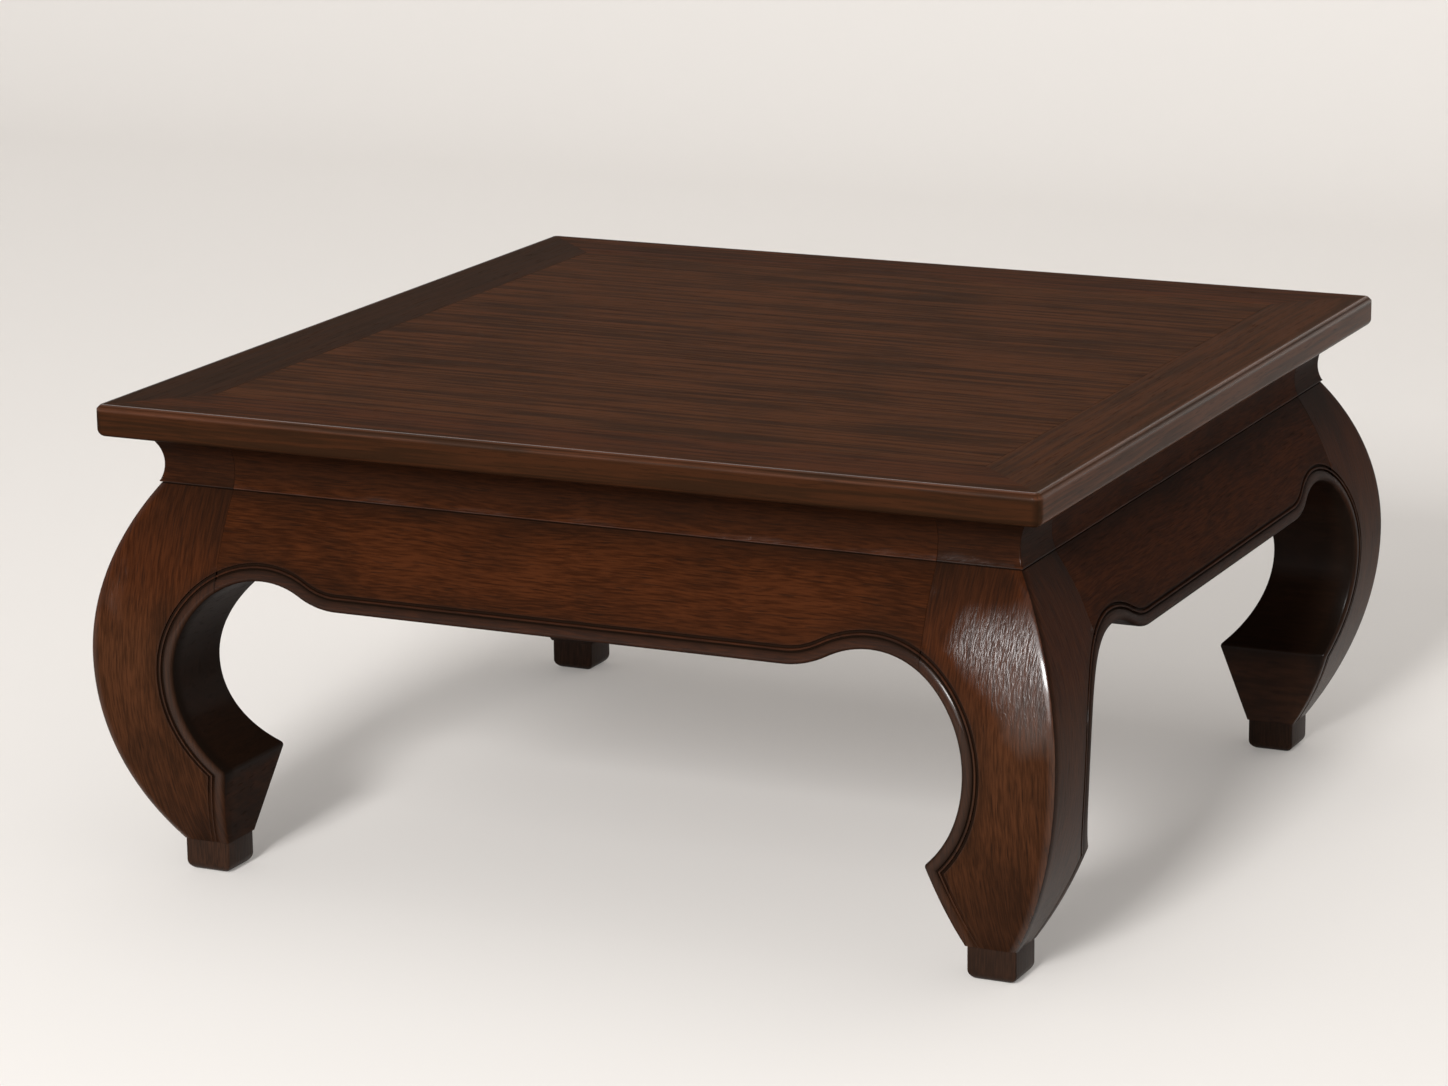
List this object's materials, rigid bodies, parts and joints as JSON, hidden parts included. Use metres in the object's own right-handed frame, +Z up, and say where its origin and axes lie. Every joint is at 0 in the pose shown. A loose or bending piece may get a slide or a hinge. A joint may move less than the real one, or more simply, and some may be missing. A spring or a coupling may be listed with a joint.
{
  "type": "opium table",
  "caption": "Low square East Asian table with a flush panelled top, coved waist, scalloped beaded aprons and inward-curving hoof legs on block feet.",
  "frame": {"origin": "on the floor, under the middle of the top", "axes": "+X to the right along the front edge, +Y to the back, +Z up"},
  "size_m": [0.826, 0.8, 0.395],
  "materials": {
    "top_wood": "dark stained hardwood under a satin lacquer",
    "side_wood": "dark stained hardwood under a satin lacquer",
    "leg_wood": "dark stained hardwood under a satin lacquer",
    "inner_wood": "bare hardwood, unfinished inside"
  },
  "bodies": {
    "root": {"top_frame_front": "top_wood", "top_frame_back": "top_wood", "top_frame_left": "top_wood", "top_frame_right": "top_wood", "panel_board_1": "top_wood", "panel_board_2": "top_wood", "panel_board_3": "top_wood", "panel_board_4": "top_wood", "panel_batten_left": "inner_wood", "panel_batten_right": "inner_wood", "leg_front_left": "leg_wood", "leg_front_right": "leg_wood", "leg_back_left": "leg_wood", "leg_back_right": "leg_wood", "foot_front_left": "leg_wood", "foot_front_right": "leg_wood", "foot_back_left": "leg_wood", "foot_back_right": "leg_wood", "waist_front": "side_wood", "waist_back": "side_wood", "waist_left": "side_wood", "waist_right": "side_wood", "apron_front": "side_wood", "apron_back": "side_wood", "apron_left": "side_wood", "apron_right": "side_wood", "apron_pegs": "inner_wood", "foot_pegs": "inner_wood", "frame_pegs": "inner_wood"}
  },
  "joints": []
}
